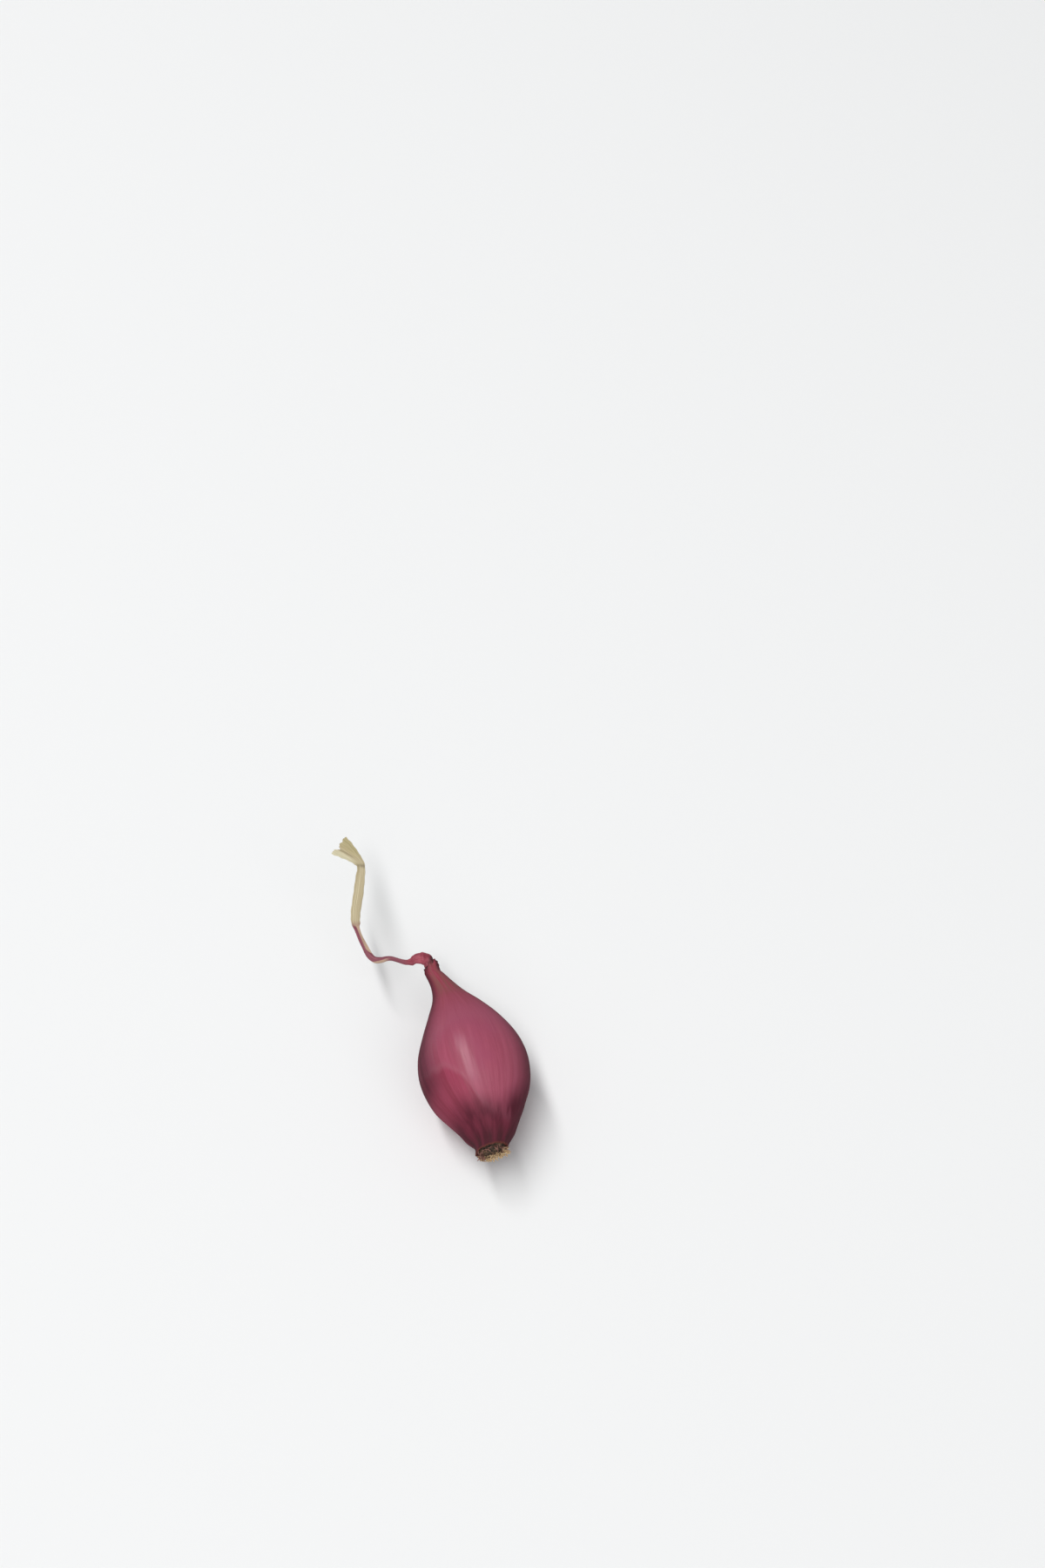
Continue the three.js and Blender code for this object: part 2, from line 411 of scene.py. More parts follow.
def bulb_mesh():
    """The bulb's skin, from inside the root recess to inside the collar, with what its finish has to know."""
    station, radius = bulb_outline()
    station = station[:, None]
    radius = radius[:, None]
    angle = round_angles(BULB_SIDES)
    pleats = streaks(angle, station, 9, 19, 0.5, seed=11, waves=7)
    teeth = RIM_TEETH * streaks(angle, 0.0, 3, 34, 0, seed=16) * bump_at(ROOT_RIM, 0.5, station)
    points = place(station + teeth, angle, radius + skin_relief(angle, station, pleats))
    points[..., 2] = np.maximum(points[..., 2], 0.0)
    off_edge = station - skin_edge(angle)
    attributes = {
        "skin": skin_place(angle, station),
        "cover": smoothstep(-1.3, 0.9, off_edge),
        # Where the painted sheen lies, along the outer skin's edge
        "sheen": bump_at(0.5, 0.9, off_edge),
        # Painted shade on the flanks, eased off at the lower left towards the root
        "flank_shade": flank_shade(angle) * (1 - 0.75 * flank_shade_eased(angle, station)),
        "gloss": gloss(angle, station),
        "to_root": root_zone(station),
        "to_neck": neck_zone(station),
        # The darker root end: partly the skin's own tone, partly painted shade
        "root_tone_and_shade": root_tone_and_shade(angle, station),
        "pleat": pleats,
        "scorch_and_shade": 0 * pleats,
    }
    return tube_mesh("bulb_skin", [(points, spread(attributes, points.shape[:2]))])


# ------------------------------------------------------------------------------------------- plate and roots

def plate_mesh():
    """The corky root plate: a low rough crown, a little wider than the CAD's, in the bulb's root recess."""
    share = np.linspace(0.02, 1, PLATE_RINGS)[:, None]
    radius = share * (PLATE_RADIUS + 0.25)
    station = PLATE_FACE + 0.35 + 0.9 * share ** 3
    points = place(station, round_angles(PLATE_SIDES), radius)
    rough = 0.16 * lumps(points, 1.4, seed=21) + 0.08 * lumps(points, 0.6, seed=22)
    points[..., 1] += rough
    return tube_mesh("root_plate_cork", [(points, {"rough": rough})])


def fibre_tube(base, direction, length, thickness, rng):
    """One dried fibre: a wrinkled, crooked, slowly tapering thread with a blunt end."""
    side = np.cross(direction, [0.0, 0.0, 1.0])
    side /= np.linalg.norm(side)
    over = np.cross(side, direction)
    share = np.linspace(0, 1, FIBRE_RINGS)[:, None]
    angle = np.linspace(0, 2 * np.pi, FIBRE_SIDES, endpoint=False)[None, :]
    knob = 1 + 0.15 * np.sin(share * rng.uniform(7, 12) + rng.uniform(0, 6))
    blunt = np.sqrt(np.clip(1 - smoothstep(0.90, 1.02, share), 0.05, 1))
    wrinkle = 1 + 0.13 * np.cos(3 * angle + rng.uniform(0, 6) + 4 * share)
    radius = thickness / 2 * (1.1 - 0.3 * share) * knob * blunt * wrinkle
    bow = rng.uniform(-0.7, 0.7, 2)
    sway = rng.uniform(0, 2 * np.pi, 2)
    shift_side, shift_over = (
        bow[k] * share ** 2 + 0.10 * np.sin(5 * share + sway[k]) - 0.10 * np.sin(sway[k])
        for k in range(2)
    )
    points = (
        base
        + (share * length)[..., None] * direction
        + (radius * np.cos(angle) + shift_side)[..., None] * side
        + (radius * np.sin(angle) + shift_over)[..., None] * over
    )
    attributes = {"along": share, "tint": rng.uniform(0, 1) + 0 * share}
    return points, attributes


def root_mesh(name, number, degrees, distance, length, thickness):
    """A trimmed root, frayed into a tangle of fine dried fibres: fewer of them on the upper side."""
    rng = np.random.default_rng(300 + number)
    angle = math.radians(degrees)
    splay = ROOT_SPLAY * distance / PLATE_RADIUS
    fibres = UPPER_FIBRES if math.sin(angle) > 0.2 else LOWER_FIBRES
    # Pinker and darker fibres on the upper side, the darkening partly painted shade
    pink_and_shade = smoothstep(-0.35, 0.2, math.sin(angle) - 0.35 * math.cos(angle))
    tubes = []
    for _ in range(fibres):
        around = angle + rng.uniform(-0.42, 0.42)
        outward = np.array([math.cos(around), 0.0, math.sin(around)])
        sideways = np.array([-outward[2], 0.0, outward[0]]) * rng.uniform(-1.1, 1.1)
        lean = splay * rng.uniform(0.5, 2.1)
        direction = outward * math.sin(lean) + np.array([0.0, -math.cos(lean), 0.0]) + sideways
        direction /= np.linalg.norm(direction)
        base = outward * (distance + rng.uniform(-0.6, 0.35)) + np.array([0.0, FIBRE_FOOT, 0.0])
        reach = length * rng.uniform(0.6, 1.25)
        thick = thickness * rng.uniform(0.26, 0.52)
        points, attributes = fibre_tube(base, direction, reach, thick, rng)
        points = lay_on_axis(points[..., 0], points[..., 1], points[..., 2])
        attributes["pink_and_shade"] = pink_and_shade + 0 * attributes["along"]
        tubes.append((points, spread(attributes, points.shape[:2])))
    return tube_mesh(name, tubes)


# ------------------------------------------------------------------------------------------------- the neck

def collar_mesh():
    """The dried collar: the skin's crumpled end round the neck, its ragged mouth folded back inside."""
    inside = np.linspace(1, 0.45, COLLAR_INNER_RINGS)[1:]
    share = np.concatenate([np.linspace(0, 1, COLLAR_RINGS), inside])[:, None]
    inner = (np.arange(len(share)) >= COLLAR_RINGS)[:, None]
    angle = round_angles(COLLAR_SIDES)
    mouth = 0.87 + 0.11 * np.cos(angle - 0.2) + 0.020 * streaks(angle, 0.0, 3, 9, 0, seed=31)
    mouth = np.clip(mouth + 0.012 * streaks(angle, 0.0, 12, 30, 0, seed=32), 0, 1)
    station = COLLAR_FOOT + (COLLAR_TOP - COLLAR_FOOT) * share * mouth
    folds = streaks(angle, station, 4, 9, 1.6, seed=33, waves=6)
    crumple = smoothstep(28.0, 31.0, station)
    proud = neck_wrinkles(angle, station) - 0.05 + 0.08 * smoothstep(0, 0.5, share)
    outer = collar_radius(station) + proud
    radius = outer * (1 - 0.06 * crumple) + 0.10 * folds * crumple - np.where(inner, COLLAR_SKIN, 0.0)
    points = place(station, angle, radius)
    points = points + 0.05 * (lumps(points, 0.9, seed=34) * crumple)[..., None]
    rim = smoothstep(0.86, 1.0, share)
    # Dark dried rim of the mouth, and painted shade inside the folded-back mouth and in the hollows of the
    # crumpled folds
    dark_rim_and_shade = np.where(inner, 1.0, 0.55 * rim) + 0.55 * crumple * smoothstep(-0.2, -1.3, folds)
    attributes = {
        "skin": skin_place(angle, station),
        "cover": 1 + 0 * station,
        "sheen": 0 * station,
        "flank_shade": flank_shade(angle),
        "gloss": 0 * station,
        "to_root": 0 * station,
        "root_tone_and_shade": 0 * station,
        "to_neck": neck_zone(station),
        "pleat": folds,
        "scorch_and_shade": np.clip(dark_rim_and_shade, 0, 1),
    }
    return tube_mesh("neck_collar", [(points, spread(attributes, points.shape[:2]))])


# ------------------------------------------------------------------------------------------------- the leaf

def torn_depth(side):
    """How far short of the leaf's end each part of its width stops, in stops: lobes, a notch and frays."""
    notch = 0.40 * bump_at(-0.15, 0.24, side)
    nick = 0.16 * bump_at(0.50, 0.09, side)
    corner = 0.14 * smoothstep(0.72, 1.0, side)
    fray = 0.05 * np.cos(31 * side) + 0.03 * np.cos(53 * side + 1)
    return np.clip(notch + nick + corner + fray, 0, 1)


def leaf_route(position):
    """At each position: the leaf's middle, half its width and thickness, and the axes that they lie along."""
    dense = catmull_rom(LEAF_FOOT + LEAF, LEAF_STEPS)
    stop = np.linspace(-len(LEAF_FOOT), LEAF_LAST, len(dense))
    tangent = np.gradient(dense[:, :3], axis=0)
    tangent /= np.linalg.norm(tangent, axis=1)[:, None]
    across = np.cross(tangent, [0.0, 0.0, 1.0])
    across /= np.linalg.norm(across, axis=1)[:, None]
    columns = np.hstack([dense, across, np.cross(across, tangent)])
    values = np.stack([np.interp(position, stop, column) for column in columns.T], -1)
    centre, sizes, width_axis, face_axis = np.split(values, [3, 5, 8], axis=-1)
    return centre, sizes[..., 0] / 2, sizes[..., 1] / 2, width_axis, face_axis


def leaf_zones(position, side):
    """How much each spot belongs to the hood at the neck, the strand, the blade, the fan and its crease."""
    hood = 1 - smoothstep(*HOOD_END, position)
    blade = smoothstep(*BLADE_START, position)
    fan = smoothstep(*FAN_START, position)
    strand = (1 - hood) * (1 - blade)
    crease = bump_at(BLADE_CREASE, 0.16, position + 0.12 * side)
    return hood, strand, blade, fan, crease


def leaf_ribs(side, position):
    """Lengthwise ribs across the leaf, from -1 to 1."""
    drift = 0.5 * np.sin(0.9 * position)
    return (
        0.40 * np.cos(side * 13 + drift)
        + 0.35 * np.cos(side * 23 + 1 - drift)
        + 0.25 * np.cos(side * 37 + 2)
    )


def leaf_height(angle, position, thickness):
    """How far the surface stands off the leaf's middle, in mm: ribbed, curled, pinched and folded."""
    side = np.cos(angle)
    top = np.sin(angle)
    _, _, blade, fan, crease = leaf_zones(position, side)
    flat = np.sign(top) * np.abs(top) ** (0.75 - 0.25 * blade)
    ribbed = leaf_ribs(side, position) * (0.055 * blade - 0.02 * fan) * np.sign(top)
    curled = 0.22 * (side ** 2 - 0.4) * blade * (1 - fan) * thickness
    pinched = 0.14 * crease * (1 - side ** 2)
    fold = -0.55 * bump_at(0.15, 0.3, side) + 0.35 * side ** 2 + 0.10 * np.cos(side * 7 + position * 0.9)
    folded = fold * fan * smoothstep(15.4, 17.5, position)
    return thickness * (1 - 0.72 * fan) * flat + ribbed + curled - pinched + folded


def leaf_section(angle, position, width, thickness):
    """How far the surface lies sideways and upwards of the leaf's middle, in mm, wrinkled and twisted."""
    side = np.cos(angle)
    hood, strand, blade, fan, crease = leaf_zones(position, side)
    wrinkle = np.cos(3 * angle + 2.2 * position) * 0.09 + np.cos(5 * angle - 1.7 * position) * 0.05
    swell = 1 + wrinkle * (strand + 0.6 * hood)
    flared = 0.10 * fan * smoothstep(0, 1, side) * smoothstep(16.5, 18, position)
    frayed = 0.03 * blade * np.cos(9 * position + 2 * side)
    edge = 1 + flared + frayed - 0.04 * crease
    slim = 1 - 0.40 * (1 - smoothstep(-0.6, 1.2, position)) * smoothstep(-0.3, 0.4, side)
    fuller = (1 + 0.08 * strand + 0.16 * hood) * slim
    straight_side = width * side * swell * edge * fuller
    straight_height = leaf_height(angle, position, thickness) * swell * (1 + 0.15 * strand + 0.18 * hood)
    twist = 0.45 * np.sin(position * 1.1) * strand
    sideways = straight_side * np.cos(twist) - straight_height * np.sin(twist)
    upwards = straight_side * np.sin(twist) * 0.6 + straight_height * np.cos(twist)
    return sideways, upwards


def leaf_cream(angle, position, strand):
    """The strand's pale inner face: it starts underneath and comes round to the right towards the blade."""
    turn = np.interp(position, [5.0, 6.6, 7.4, 8.4, 10.8], [-3.3, -2.9, -1.6, 0.35, 0.75])
    return smoothstep(0.15, 0.5, np.cos(angle - turn)) * smoothstep(4.8, 6.0, position) * strand


def leaf_mesh():
    """One strip: swollen hood at the neck, twisted strand, ribbed blade, and a thin torn fan at the tip."""
    angle = round_angles(LEAF_SIDES)
    side = np.cos(angle)
    even = np.linspace(-len(LEAF_FOOT), LEAF_LAST, LEAF_RINGS)[:, None]
    position = even - smoothstep(TEAR_START, LEAF_LAST, even) * torn_depth(side)
    centre, width, thickness, width_axis, face_axis = leaf_route(position)
    hood, strand, blade, fan, crease = leaf_zones(position, side)
    sideways, upwards = leaf_section(angle, position, width, thickness)
    points = centre + sideways[..., None] * width_axis + upwards[..., None] * face_axis
    puckers = 0.11 * lumps(points, 2.4, seed=41) + 0.05 * lumps(points, 1.0, seed=42)
    points = points + (puckers * hood * smoothstep(-1.0, 0.5, position))[..., None] * face_axis
    # Painted shade where the leaf goes into the collar, more on its right side
    tucked_shade = 1 - smoothstep(-0.5, 0.5, position - 0.25 * side)
    attributes = {
        "place": np.stack(np.broadcast_arrays(side, np.sin(angle), position), -1),
        "blade": blade,
        "fan": fan,
        "hood": hood,
        "tucked_shade": tucked_shade * (0.35 + 0.65 * smoothstep(-0.6, 0.4, side)),
        "cream": leaf_cream(angle, position, strand),
        "rib": leaf_ribs(side, position),
        "crease": crease,
        "side": side,
    }
    return tube_mesh("dry_leaf_strip", [(points, spread(attributes, points.shape[:2]))], flat_end=True)


# ---------------------------------------------------------------------------------------------- the finishes

# Colours of each material, as linear red, green and blue
SKIN = {
    "outer": (0.385, 0.084, 0.138),
    "outer_streak": (0.32, 0.062, 0.104),
    "outer_patch": (0.34, 0.070, 0.124),
    "inner": (0.26, 0.034, 0.066),
    "inner_streak": (0.345, 0.054, 0.102),
    # Painted sheen along the outer skin's torn edge
    "edge": (0.36, 0.110, 0.150),
    "dark_vein": (0.15, 0.014, 0.036),
    "pale_vein": (0.46, 0.12, 0.17),
    "neck": (0.255, 0.040, 0.056),
    "neck_dull": (0.20, 0.085, 0.072),
    # Painted shade on the bulb's two sides
    "flank_shade": (0.070, 0.004, 0.016),
    # The darker root end: partly the skin's own tone, partly painted shade
    "root_tone_and_shade": (0.085, 0.007, 0.020),
    # Painted shade in the pleat folds near the root
    "fold": (0.050, 0.012, 0.016),
    "rim": (0.13, 0.036, 0.024),
    # Dark dried ends, and painted shade inside the collar
    "scorch_and_shade": (0.045, 0.010, 0.014),
}
CORK = {
    "dark": (0.030, 0.024, 0.020),
    "light": (0.085, 0.058, 0.040),
    "crumb": (0.22, 0.13, 0.075),
}
FIBRE = {
    "tan": (0.56, 0.385, 0.20),
    "straw": (0.75, 0.57, 0.34),
    "brown": (0.36, 0.20, 0.11),
    # Pinkish fibre, darkened partly as painted shade
    "pink_and_shade": (0.21, 0.090, 0.080),
    "foot": (0.12, 0.055, 0.040),
}
LEAF_COLOURS = {
    "hood": (0.40, 0.088, 0.120),
    "hood_blotch": (0.27, 0.042, 0.066),
    # Painted shade at the leaf's foot, inside the collar
    "hood_foot_shade": (0.060, 0.010, 0.016),
    "strand": (0.33, 0.105, 0.135),
    "strand_fibre": (0.155, 0.035, 0.055),
    "cream": (0.60, 0.44, 0.32),
    "cream_fibre": (0.42, 0.27, 0.18),
    "straw": (0.64, 0.56, 0.37),
    "straw_fibre": (0.43, 0.35, 0.21),
    # Darker grooves between the ribs, partly painted shade
    "groove_tone_and_shade": (0.27, 0.22, 0.115),
    "fan_shade": (0.34, 0.29, 0.12),
    # Painted light on the fan's pale side
    "fan_lit": (0.72, 0.68, 0.48),
    # Painted shade in the blade's crease
    "crease": (0.20, 0.16, 0.10),
}
FLOOR_COLOUR = (0.86, 0.865, 0.865)
SKY_COLOUR = (0.97, 0.985, 1.0)

# The colour sockets of a Mix node, which share their names with its number sockets
MIX_A = 6
MIX_B = 7
MIX_RESULT = 2


class Finish:
    """A material under construction, with short calls for the nodes that it is made of."""

    def __init__(self, name, specular, roughness=0.5):
        self.material = bpy.data.materials.new(name)
        self.material.use_nodes = True
        self.nodes = self.material.node_tree.nodes
        self.links = self.material.node_tree.links
        self.shader = self.nodes["Principled BSDF"]
        self.shader.inputs["Roughness"].default_value = roughness
        self.shader.inputs["Specular IOR Level"].default_value = specular

    def set(self, socket, value):
        """Feed a socket with another node's output, a colour or a number."""
        if isinstance(value, bpy.types.NodeSocket):
            self.links.new(value, socket)
        elif isinstance(value, tuple) and len(value) == 3 and len(socket.default_value) == 4:
            socket.default_value = (*value, 1)
        else:
            socket.default_value = value

    def attribute(self, name, output="Fac"):
        node = self.nodes.new("ShaderNodeAttribute")
        node.attribute_name = name
        return node.outputs[output]

    def math(self, operation, a, b):
        node = self.nodes.new("ShaderNodeMath")
        node.operation = operation
        self.set(node.inputs[0], a)
        self.set(node.inputs[1], b)
        return node.outputs[0]

    def times(self, a, b):
        return self.math("MULTIPLY", a, b)

    def scaled(self, vector, factors):
        node = self.nodes.new("ShaderNodeVectorMath")
        node.operation = "MULTIPLY"
        self.set(node.inputs[0], vector)
        node.inputs[1].default_value = factors
        return node.outputs[0]

    def noise(self, vector, detail, scale=1.0):
        node = self.nodes.new("ShaderNodeTexNoise")
        self.set(node.inputs["Vector"], vector)
        node.inputs["Scale"].default_value = scale
        node.inputs["Detail"].default_value = detail
        node.inputs["Roughness"].default_value = 0.55
        return node.outputs["Fac"]

    def ramp(self, factor, low, high, start=0.0, end=1.0):
        """A number that goes from start to end as factor goes from low to high, and stays there."""
        node = self.nodes.new("ShaderNodeMapRange")
        node.interpolation_type = "SMOOTHSTEP"
        self.set(node.inputs["Value"], factor)
        node.inputs["From Min"].default_value = low
        node.inputs["From Max"].default_value = high
        node.inputs["To Min"].default_value = start
        node.inputs["To Max"].default_value = end
        return node.outputs["Result"]

    def mix(self, factor, a, b):
        """The colour a where factor is 0, and b where it is 1."""
        node = self.nodes.new("ShaderNodeMix")
        node.data_type = "RGBA"
        self.set(node.inputs["Factor"], factor)
        self.set(node.inputs[MIX_A], a)
        self.set(node.inputs[MIX_B], b)
        return node.outputs[MIX_RESULT]

    def colour(self, value):
        self.set(self.shader.inputs["Base Color"], value)

    def roughness(self, value):
        self.set(self.shader.inputs["Roughness"], value)

    def bump(self, height, depth_mm, strength):
        node = self.nodes.new("ShaderNodeBump")
        node.inputs["Strength"].default_value = strength
        node.inputs["Distance"].default_value = depth_mm * MM
        self.set(node.inputs["Height"], height)
        self.links.new(node.outputs["Normal"], self.shader.inputs["Normal"])


def skin_base(f, streak, fine, patch):
    """The outer skin's crimson over the inner one's, a painted paler sheen along the edge between, and dark
    and pale veins.
    """
    inner = f.mix(f.ramp(streak, 0.3, 0.7), SKIN["inner_streak"], SKIN["inner"])
    outer = f.mix(f.ramp(streak, 0.3, 0.7), SKIN["outer"], SKIN["outer_streak"])
    outer = f.mix(f.ramp(patch, 0.4, 0.65), outer, SKIN["outer_patch"])
    colour = f.mix(f.attribute("cover"), inner, outer)
    # Painted sheen along the outer skin's torn edge
    colour = f.mix(f.times(f.attribute("sheen"), 0.35), colour, SKIN["edge"])
    colour = f.mix(f.ramp(fine, 0.56, 0.70, 0.0, 0.15), colour, SKIN["dark_vein"])
    above_root_tone = f.ramp(f.attribute("root_tone_and_shade"), 0.0, 0.5, 1.0, 0.0)
    pale_veins = f.times(f.ramp(fine, 0.44, 0.30, 0.0, 0.13), above_root_tone)
    return f.mix(pale_veins, colour, SKIN["pale_vein"])


def skin_shades(f, colour, streak, patch, mottle):
    """The skin's darker places: the neck; painted shade on the flanks and in the pleat folds; the root-end
    zone, partly painted shade; its rim; and dark dried ends, with painted shade inside the collar's mouth and
    its folds.
    """
    to_neck = f.attribute("to_neck")
    to_root = f.attribute("to_root")
    browned = f.times(to_neck, f.ramp(streak, 0.3, 0.6, 0.45, 0.9))
    colour = f.mix(browned, colour, SKIN["neck"])
    dull = f.times(f.ramp(to_neck, 0.6, 1.0), f.ramp(patch, 0.43, 0.57, 0.0, 0.65))
    colour = f.mix(dull, colour, SKIN["neck_dull"])
    # Painted shade on the bulb's two sides and, half as much, below it
    painted_flank_shade = f.times(f.attribute("flank_shade"), f.ramp(streak, 0.35, 0.65, 0.92, 0.72))
    colour = f.mix(painted_flank_shade, colour, SKIN["flank_shade"])
    # The darker root end: partly the skin's own tone, partly painted shade
    root_tone_and_shade = f.times(f.attribute("root_tone_and_shade"), f.ramp(mottle, 0.35, 0.6, 0.65, 1.0))
    colour = f.mix(root_tone_and_shade, colour, SKIN["root_tone_and_shade"])
    # Painted shade near the root end, darkest in the hollows of the pleats
    folds = f.times(f.ramp(to_root, 0.06, 0.6), f.ramp(f.attribute("pleat"), 0.6, -1.2, 0.45, 0.85))
    colour = f.mix(folds, colour, SKIN["fold"])
    colour = f.mix(f.ramp(to_root, 0.82, 0.97, 0.0, 0.8), colour, SKIN["rim"])
    # Dark dried ends, with painted shade inside the collar's mouth and in its folds
    return f.mix(f.attribute("scorch_and_shade"), colour, SKIN["scorch_and_shade"])


def skin_finish():
    """Crimson skin, satin where it is drawn tight and matt elsewhere, with lengthwise streaks and veins."""
    f = Finish("onion_skin", specular=0.33)
    skin = f.attribute("skin", "Vector")
    streak = f.noise(f.scaled(skin, (7.0, 7.0, 0.45)), detail=5.0)
    fine = f.noise(f.scaled(skin, (30.0, 30.0, 0.9)), detail=3.0)
    patch = f.noise(f.scaled(skin, (1.6, 1.6, 0.8)), detail=3.0)
    mottle = f.noise(f.scaled(skin, (3.2, 3.2, 1.2)), detail=4.0)
    f.colour(skin_shades(f, skin_base(f, streak, fine, patch), streak, patch, mottle))
    uneven = f.ramp(patch, 0.3, 0.7, 0.0, 0.06)
    f.roughness(f.math("ADD", f.ramp(f.attribute("gloss"), 0.0, 0.9, 0.94, 0.32), uneven))
    height = f.math("ADD", f.times(fine, 0.6), f.times(streak, 0.4))
    f.bump(height, 0.06, 0.5)
    return f.material


def plate_finish():
    """Dark greenish-grey cork with browner crumbs on its high spots."""
    f = Finish("root_cork", specular=0.2, roughness=0.95)
    grain = f.noise(f.nodes.new("ShaderNodeTexCoord").outputs["Object"], scale=1600.0, detail=5.0)
    colour = f.mix(f.ramp(grain, 0.35, 0.6), CORK["dark"], CORK["light"])
    colour = f.mix(f.ramp(f.attribute("rough"), -0.04, -0.24, 0.0, 0.6), colour, CORK["crumb"])
    f.colour(colour)
    f.bump(grain, 0.15, 0.8)
    return f.material


def root_finish():
    """Tan dried fibre, darker at its foot, pinker and darker on the roots next to the upper skin, the
    darkening partly painted shade.
    """
    f = Finish("dry_root", specular=0.25, roughness=0.8)
    grain = f.noise(f.nodes.new("ShaderNodeTexCoord").outputs["Object"], scale=2200.0, detail=4.0)
    colour = f.mix(f.ramp(grain, 0.3, 0.7), FIBRE["tan"], FIBRE["straw"])
    colour = f.mix(f.ramp(f.attribute("tint"), 0.5, 1.0, 0.0, 0.5), colour, FIBRE["brown"])
    # Pinker and darker on the upper roots, the darkening partly painted shade
    colour = f.mix(f.times(f.attribute("pink_and_shade"), 0.9), colour, FIBRE["pink_and_shade"])
    colour = f.mix(f.ramp(f.attribute("along"), 0.55, 0.15), colour, FIBRE["foot"])
    f.colour(colour)
    f.bump(grain, 0.08, 0.7)
    return f.material


def straw_colour(f, fibre):
    """The blade's ribbed straw with grooves darkened partly by painted shade, the fan's painted lit and
    shaded sides, and painted shade in its crease.
    """
    fan = f.attribute("fan")
    side = f.attribute("side")
    straw = f.mix(f.ramp(fibre, 0.3, 0.7), LEAF_COLOURS["straw"], LEAF_COLOURS["straw_fibre"])
    # Darker grooves between the ribs, partly painted shade
    straw = f.mix(f.ramp(f.attribute("rib"), 0.0, -0.7, 0.0, 0.65), straw, LEAF_COLOURS["groove_tone_and_shade"])
    straw = f.mix(f.times(fan, f.ramp(side, -0.1, 0.5, 0.0, 0.5)), straw, LEAF_COLOURS["fan_shade"])
    # Painted light on the fan's pale side
    straw = f.mix(f.times(fan, f.ramp(side, -0.2, -0.7, 0.0, 0.6)), straw, LEAF_COLOURS["fan_lit"])
    # Painted shade in the crease where the blade kinks
    crease_shade = f.times(f.attribute("crease"), f.ramp(side, -0.6, 0.3, 0.15, 0.7))
    return f.mix(crease_shade, straw, LEAF_COLOURS["crease"])


def leaf_finish():
    """Pinkish red at the hood, maroon and cream along the strand, ribbed straw on the blade and tip, and
    painted shade where the leaf goes into the collar.
    """
    f = Finish("dry_leaf", specular=0.3, roughness=0.6)
    spot = f.attribute("place", "Vector")
    fibre = f.noise(f.scaled(spot, (9.0, 3.0, 0.35)), detail=4.0)
    blotch = f.noise(f.scaled(spot, (1.6, 1.0, 0.8)), detail=3.0)
    red = f.mix(f.ramp(blotch, 0.35, 0.6), LEAF_COLOURS["hood"], LEAF_COLOURS["hood_blotch"])
    maroon = f.mix(f.ramp(fibre, 0.3, 0.7), LEAF_COLOURS["strand"], LEAF_COLOURS["strand_fibre"])
    cream = f.mix(f.ramp(fibre, 0.3, 0.7), LEAF_COLOURS["cream"], LEAF_COLOURS["cream_fibre"])
    colour = f.mix(f.attribute("hood"), maroon, red)
    # Painted shade where the leaf goes into the collar
    colour = f.mix(f.attribute("tucked_shade"), colour, LEAF_COLOURS["hood_foot_shade"])
    colour = f.mix(f.attribute("cream"), colour, cream)
    colour = f.mix(f.attribute("blade"), colour, straw_colour(f, fibre))
    f.colour(colour)
    f.bump(fibre, 0.06, 0.7)
    return f.material


# ------------------------------------------------------------------------------------------------- the stage

def add_camera():
    """The photo's camera, looking at its aim from the photo's side."""
    camera = bpy.data.objects.new("camera", bpy.data.cameras.new("camera"))
    bpy.context.scene.collection.objects.link(camera)
    camera.data.lens = LENS_MM
    camera.data.clip_start = 0.01
    level = math.cos(VIEW_ELEVATION)
    back = Vector((math.sin(VIEW_AZIMUTH) * level, -math.cos(VIEW_AZIMUTH) * level, math.sin(VIEW_ELEVATION)))
    camera.location = Vector(VIEW_AIM) + back * VIEW_DISTANCE
    camera.rotation_mode = "QUATERNION"
    camera.rotation_quaternion = (-back).to_track_quat("-Z", "Y")
    bpy.context.scene.camera = camera


def add_floor():
    """A wide plain pale floor under the flat spot."""
    reach = 3.0
    mesh = bpy.data.meshes.new("floor")
    corners = [(-reach, -reach, 0), (reach, -reach, 0), (reach, reach, 0), (-reach, reach, 0)]
    mesh.from_pydata(corners, [], [(0, 1, 2, 3)])
    floor = bpy.data.objects.new("floor", mesh)
    bpy.context.scene.collection.objects.link(floor)
    finish = Finish("floor", specular=0.2, roughness=0.7)
    finish.colour(FLOOR_COLOUR)
    mesh.materials.append(finish.material)


def direction(azimuth, elevation):
    """A unit vector: azimuth clockwise from +Y seen from above, both angles in degrees."""
    a = math.radians(azimuth)
    e = math.radians(elevation)
    return Vector((math.sin(a) * math.cos(e), math.cos(a) * math.cos(e), math.sin(e)))


def add_lamp(name, kind, towards):
    """A lamp turned so that it shines from the direction `towards`."""
    lamp = bpy.data.objects.new(name, bpy.data.lights.new(name, kind))
    bpy.context.scene.collection.objects.link(lamp)
    across = Vector((0, 1, 0)).cross(towards).normalized()
    lamp.rotation_mode = "QUATERNION"
    lamp.rotation_quaternion = Matrix((across, towards.cross(across), towards)).transposed().to_quaternion()
    return lamp


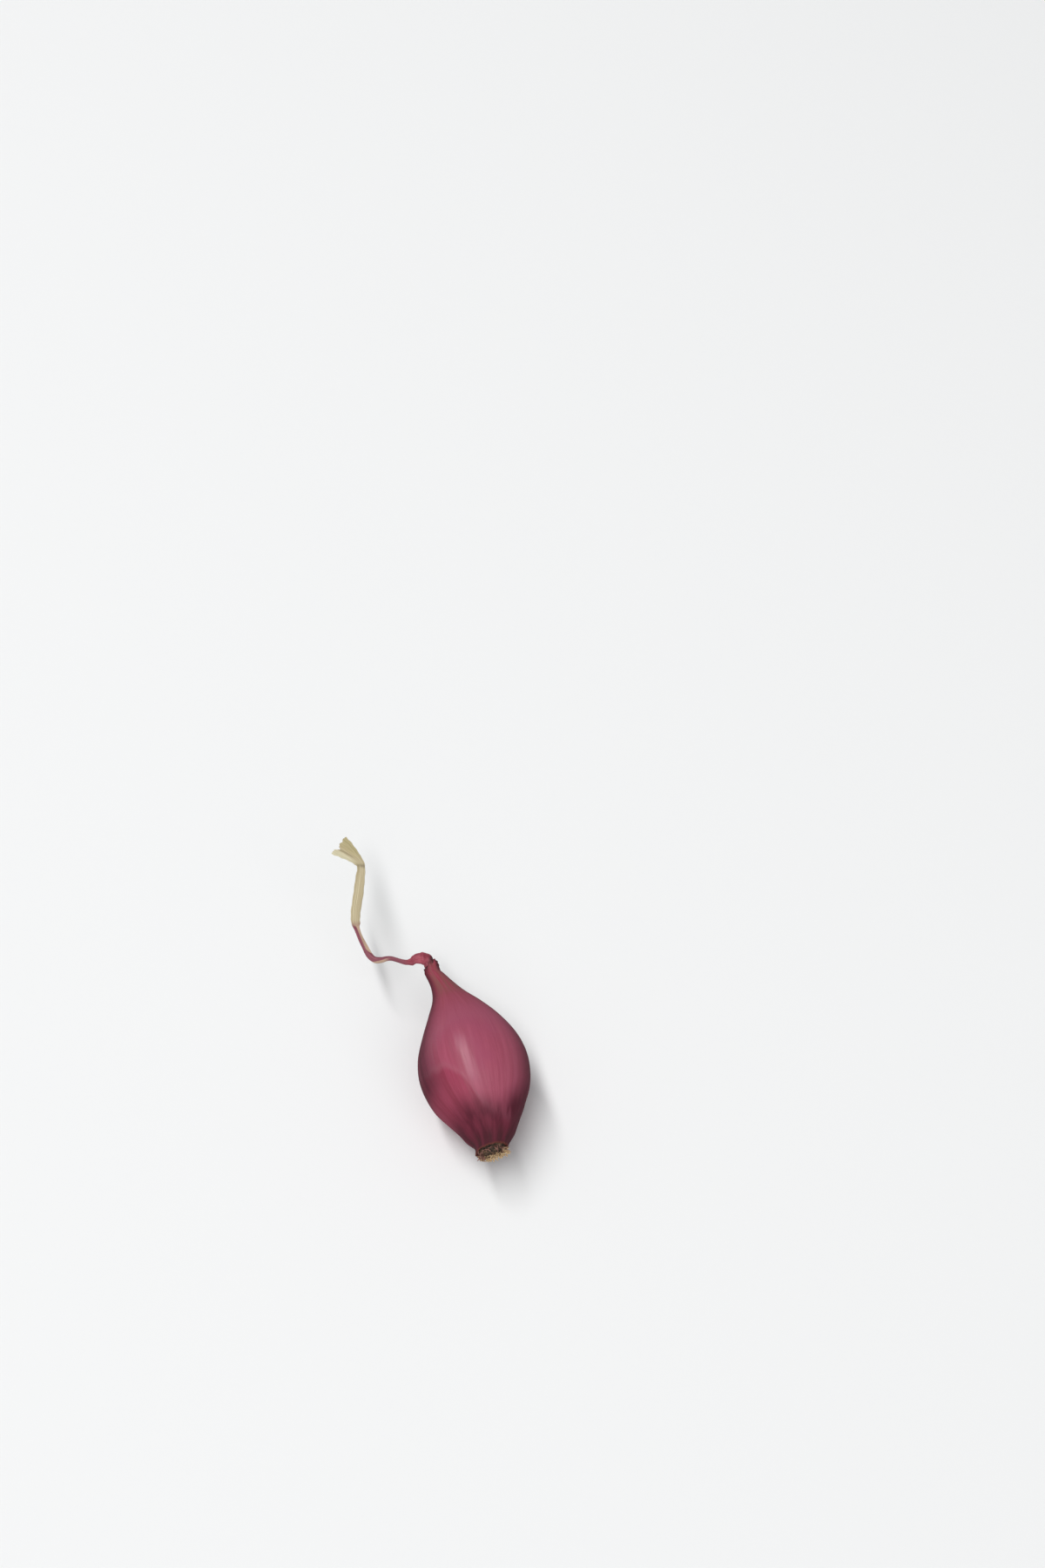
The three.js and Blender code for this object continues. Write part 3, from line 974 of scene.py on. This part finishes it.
def add_sun(name, towards, strength, spread):
    """A wide soft light from far away, spread over an angle in degrees."""
    sun = add_lamp(name, "SUN", towards)
    sun.data.energy = strength
    sun.data.angle = math.radians(spread)


def add_softbox(name, towards, distance, width, length, radiance):
    """A rectangular soft light, its length as near to Y as it can be."""
    box = add_lamp(name, "AREA", towards)
    box.location = towards * distance
    box.data.shape = "RECTANGLE"
    box.data.size = width
    box.data.size_y = length
    box.data.energy = radiance * width * length * math.pi


def add_sky(overhead, horizon):
    """A soft white surround, brighter overhead than at the sides."""
    world = bpy.data.worlds.new("studio")
    bpy.context.scene.world = world
    world.use_nodes = True
    nodes = world.node_tree.nodes
    links = world.node_tree.links
    outward = nodes.new("ShaderNodeTexCoord").outputs["Generated"]
    split = nodes.new("ShaderNodeSeparateXYZ")
    links.new(outward, split.inputs[0])
    climb = nodes.new("ShaderNodeMapRange")
    climb.interpolation_type = "SMOOTHSTEP"
    climb.inputs["From Min"].default_value = 0.0
    climb.inputs["From Max"].default_value = 1.0
    climb.inputs["To Min"].default_value = horizon
    climb.inputs["To Max"].default_value = overhead
    links.new(split.outputs["Z"], climb.inputs["Value"])
    links.new(climb.outputs["Result"], nodes["Background"].inputs["Strength"])
    nodes["Background"].inputs["Color"].default_value = (*SKY_COLOUR, 1)


bpy.context.scene.view_settings.view_transform = "Standard"
add_camera()
add_floor()
add_sky(overhead=0.29, horizon=0.12)
add_sun("front", direction(175, 42), strength=0.80, spread=60)
add_softbox("strip", direction(-84, 73), distance=3, width=0.45, length=4.6, radiance=12.6)

skin = skin_finish()
add_piece("bulb_skin", bulb_mesh(), skin, "bulb_skin", "bulb")
add_piece("neck_collar", collar_mesh(), skin, "neck_skin", "neck_skin")
add_piece("root_plate_cork", plate_mesh(), plate_finish(), "root_plate", "root_plate")
add_piece("dry_leaf_strip", leaf_mesh(), leaf_finish(), "dry_leaf", "dry_leaf")
dried = root_finish()
for number, root in enumerate(ROOTS, start=1):
    mesh = root_mesh(f"root_fibre_{number:02d}", number, *root)
    add_piece(mesh.name, mesh, dried, "dry_root", f"root_stub_{number:02d}")
